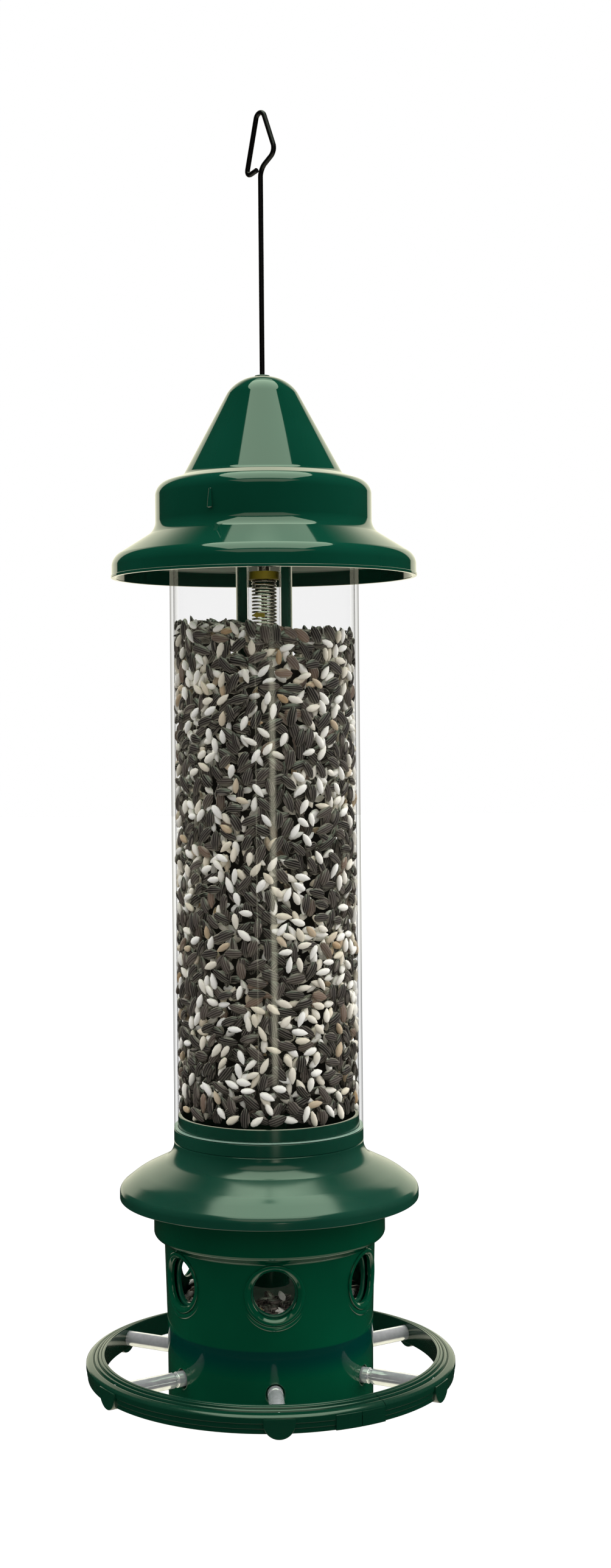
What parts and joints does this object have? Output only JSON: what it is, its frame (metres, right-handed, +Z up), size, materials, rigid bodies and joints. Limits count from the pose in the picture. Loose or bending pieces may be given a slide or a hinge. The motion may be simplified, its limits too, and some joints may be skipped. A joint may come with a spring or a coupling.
{
  "type": "squirrel proof bird feeder",
  "caption": "Hanging tube bird feeder: a ring and pegs on a sprung port housing that a squirrel's weight pulls down, shutting the seed ports. The lid lifts up the wire.",
  "frame": {"origin": "the point of the wire loop that the hook touches, on the feeder's axis", "axes": "+Z up along the feeder's axis and wire; -Y faces the picture's view, with one port and peg 2.3 degrees to the right of it"},
  "size_m": [0.1994, 0.2012, 0.7002],
  "materials": {
    "lid_green": "gloss moulded deep green plastic",
    "guard_green": "satin-gloss moulded green plastic",
    "housing_green": "semi-gloss moulded green plastic",
    "ring_green": "satin ribbed green plastic",
    "column_green": "moulded green plastic",
    "inner_green": "moulded green plastic inside the feeder",
    "clear_plastic": "clear polished plastic",
    "marker_yellow": "yellow plastic",
    "black_wire": "black coated steel wire",
    "zinc_steel": "plain zinc-plated steel",
    "spring_steel": "drawn spring wire",
    "chrome": "bright chrome plate",
    "black_rubber": "black rubber"
  },
  "bodies": {
    "hanger": {"hanger_wire": "black_wire", "hanger_washer": "zinc_steel", "hanger_nut": "zinc_steel"},
    "feeder": {"seed_tube": "clear_plastic", "weather_guard": "guard_green", "seed_funnel": "inner_green", "port_sleeve": "inner_green", "seed_tray": "inner_green", "spring_column": "column_green", "column_head": "column_green", "head_pin": "zinc_steel", "column_nut": "inner_green", "sight_sleeve": "clear_plastic", "spring_seat": "zinc_steel", "spring": "spring_steel"},
    "lid_carrier": {"roof_grommet": "black_rubber"},
    "lid": {"roof": "lid_green"},
    "shroud": {"port_housing": "housing_green", "housing_floor": "inner_green", "rod_nut": "zinc_steel", "pull_rod": "zinc_steel", "plunger": "marker_yellow", "perch_1": "chrome", "perch_2": "chrome", "perch_3": "chrome", "perch_4": "chrome", "perch_5": "chrome", "perch_6": "chrome", "ring_half_a": "ring_green", "ring_half_b": "ring_green", "ring_joiner_a": "inner_green", "ring_joiner_b": "inner_green"}
  },
  "joints": [
    {"name": "feeder_swivel", "type": "hinge", "parent": "hanger", "child": "feeder", "pos_m": [0, 0, -0.2], "axis": [0, 0, 1], "continuous": true},
    {"name": "lid_lift", "type": "slide", "parent": "hanger", "child": "lid_carrier", "axis": [0, 0, 1], "range_m": [0, 0.105]},
    {"name": "lid_turn", "type": "hinge", "parent": "lid_carrier", "child": "lid", "pos_m": [0, 0, -0.143], "axis": [0, 0, 1], "continuous": true},
    {"name": "shroud_drop", "type": "slide", "parent": "feeder", "child": "shroud", "axis": [0, 0, -1], "range_m": [0, 0.0254], "stiffness_N_per_m": 158, "springref_m": -0.0253, "deforming": ["spring"]}
  ]
}
